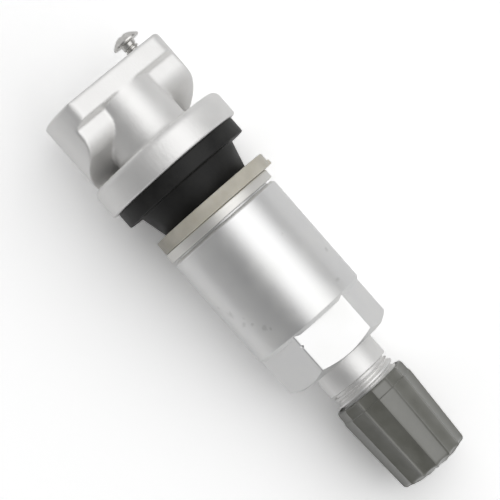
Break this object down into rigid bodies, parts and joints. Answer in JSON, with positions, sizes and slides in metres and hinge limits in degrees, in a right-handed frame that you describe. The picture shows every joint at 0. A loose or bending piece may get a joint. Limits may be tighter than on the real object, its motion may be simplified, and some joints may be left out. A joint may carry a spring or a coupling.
{
  "type": "tyre pressure sensor valve stem",
  "caption": "Clamp-in metal valve stem for a tyre pressure sensor: notched round head with screw, flange, rubber grommet, washers, hex sleeve nut, valve core and fluted cap.",
  "frame": {"origin": "on the valve axis, in the plane where the rim's inner face meets the grommet's sealing flange", "axes": "+X along the valve axis towards the cap, +Z away from the surface the loose valve lies on, +Y square to both"},
  "size_m": [0.0576, 0.0172, 0.0174],
  "materials": {
    "stem_aluminium": "satin",
    "screw_steel": "bright plated",
    "black_rubber": "satin",
    "nylon": "translucent matt",
    "ring_aluminium": "satin",
    "nut_aluminium": "satin",
    "cap_plastic": "semi-matt",
    "core_brass": "turned",
    "core_packing": "matt",
    "spring_steel": "drawn wire"
  },
  "bodies": {
    "stem": {"valve_stem": "stem_aluminium", "grommet": "black_rubber", "nylon_washer": "nylon", "core_plug": "core_brass", "core_barrel": "core_brass", "core_packing": "core_packing", "core_spring": "spring_steel", "core_spring_guide": "core_brass"},
    "screw": {"mounting_screw": "screw_steel"},
    "ring": {"slip_ring": "ring_aluminium"},
    "nut": {"sleeve_nut": "nut_aluminium"},
    "gasket": {"cap_gasket": "black_rubber"},
    "cap": {"cap_shell": "cap_plastic"},
    "pin": {"core_pin": "core_brass", "core_cup": "core_brass", "core_cup_seal": "black_rubber"}
  },
  "joints": [
    {"name": "screw_out", "type": "slide", "parent": "stem", "child": "screw", "axis": [-1, 0, 0], "range_m": [-0.00138, 0.0065]},
    {"name": "nut_advance", "type": "slide", "parent": "stem", "child": "ring", "axis": [1, 0, 0], "range_m": [0, 0.0042]},
    {"name": "nut_turn", "type": "hinge", "parent": "ring", "child": "nut", "pos_m": [0.0229, 0, 0], "axis": [1, 0, 0], "range_deg": [0, 1515]},
    {"name": "cap_advance", "type": "slide", "parent": "stem", "child": "gasket", "axis": [1, 0, 0], "range_m": [0, 0.0095]},
    {"name": "cap_turn", "type": "hinge", "parent": "gasket", "child": "cap", "pos_m": [0.0355, 0, 0], "axis": [1, 0, 0], "range_deg": [0, 4314]},
    {"name": "pin_press", "type": "slide", "parent": "stem", "child": "pin", "axis": [-1, 0, 0], "range_m": [0, 0.001], "stiffness_N_per_m": 1500, "deforming": ["core_spring"]}
  ],
  "couplings": [
    {"joint": "nut_turn", "follows": "nut_advance", "rad_per_m": 6283.2},
    {"joint": "cap_turn", "follows": "cap_advance", "rad_per_m": 7913.3}
  ]
}
